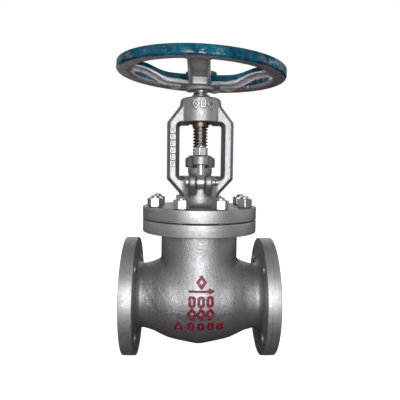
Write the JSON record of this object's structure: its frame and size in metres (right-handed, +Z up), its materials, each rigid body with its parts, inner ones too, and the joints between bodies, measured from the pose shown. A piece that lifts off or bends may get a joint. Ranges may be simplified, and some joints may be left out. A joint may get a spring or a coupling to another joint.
{
  "type": "globe valve",
  "caption": "Flanged globe valve with an outside yoke, a bolted bonnet, a packed gland and a handwheel on a rising screwed stem that lifts a disc off a horizontal seat.",
  "frame": {"origin": "where the axis of the pipe meets the axis of the stem", "axes": "+X along the pipe in the direction of flow, +Z up the stem towards the handwheel, +Y to complete a right-handed frame"},
  "size_m": [0.2701, 0.27, 0.477],
  "materials": {
    "silver_paint": "aluminium paint over a sand-cast surface, satin",
    "wheel_paint": "dark blue-green gloss paint with grey overspray underneath",
    "fastener_steel": "plain steel, lightly oiled",
    "dark_steel": "cut thread with a film of grease",
    "trim_steel": "turned and ground",
    "bronze": "turned bronze, dull",
    "graphite": "pressed graphite, matte"
  },
  "bodies": {
    "valve_body": {"body": "silver_paint", "seat_ring": "trim_steel", "bonnet_gasket": "graphite", "bonnet": "silver_paint", "bonnet_stud_1": "fastener_steel", "bonnet_stud_2": "fastener_steel", "bonnet_stud_3": "fastener_steel", "bonnet_stud_4": "fastener_steel", "bonnet_stud_5": "fastener_steel", "bonnet_stud_6": "fastener_steel", "bonnet_stud_7": "fastener_steel", "bonnet_stud_8": "fastener_steel", "bonnet_nut_1": "fastener_steel", "bonnet_nut_2": "fastener_steel", "bonnet_nut_3": "fastener_steel", "bonnet_nut_4": "fastener_steel", "bonnet_nut_5": "fastener_steel", "bonnet_nut_6": "fastener_steel", "bonnet_nut_7": "fastener_steel", "bonnet_nut_8": "fastener_steel", "backseat_bush": "trim_steel", "packing_ring_1": "graphite", "packing_ring_2": "graphite", "packing_ring_3": "graphite", "packing_ring_4": "graphite", "packing_ring_5": "graphite", "eyebolt_front": "fastener_steel", "eyebolt_back": "fastener_steel", "eyebolt_pin_front": "fastener_steel", "eyebolt_pin_back": "fastener_steel", "yoke_nut": "bronze", "yoke_nut_screw": "dark_steel"},
    "disc": {"disc": "trim_steel", "disc_nut": "trim_steel"},
    "stem": {"stem": "dark_steel", "handwheel": "wheel_paint", "wheel_washer": "fastener_steel", "wheel_nut": "fastener_steel"},
    "gland": {"gland_flange": "silver_paint", "gland_bush": "trim_steel"},
    "gland_nut_front": {"eyebolt_nut_front": "fastener_steel"},
    "gland_nut_back": {"eyebolt_nut_back": "fastener_steel"}
  },
  "joints": [
    {"name": "disc_lift", "type": "slide", "parent": "valve_body", "child": "disc", "axis": [0, 0, 1], "range_m": [0, 0.025]},
    {"name": "stem_turn", "type": "hinge", "parent": "disc", "child": "stem", "pos_m": [0, 0, 0.3], "axis": [0, 0, 1], "range_deg": [0, 1800]},
    {"name": "gland_press", "type": "slide", "parent": "valve_body", "child": "gland", "axis": [0, 0, -1], "range_m": [0, 0.004], "deforming": ["packing_ring_1", "packing_ring_2", "packing_ring_3", "packing_ring_4", "packing_ring_5"]},
    {"name": "gland_nut_front_turn", "type": "hinge", "parent": "gland", "child": "gland_nut_front", "pos_m": [0, -0.041, 0.2345], "axis": [0, 0, -1], "range_deg": [0, 823]},
    {"name": "gland_nut_back_turn", "type": "hinge", "parent": "gland", "child": "gland_nut_back", "pos_m": [0, 0.041, 0.2345], "axis": [0, 0, -1], "range_deg": [0, 823]}
  ],
  "couplings": [
    {"joint": "disc_lift", "follows": "stem_turn", "m_per_rad": 0.00079577},
    {"joint": "gland_nut_front_turn", "follows": "gland_press", "rad_per_m": 3590.4},
    {"joint": "gland_nut_back_turn", "follows": "gland_press", "rad_per_m": 3590.4}
  ]
}
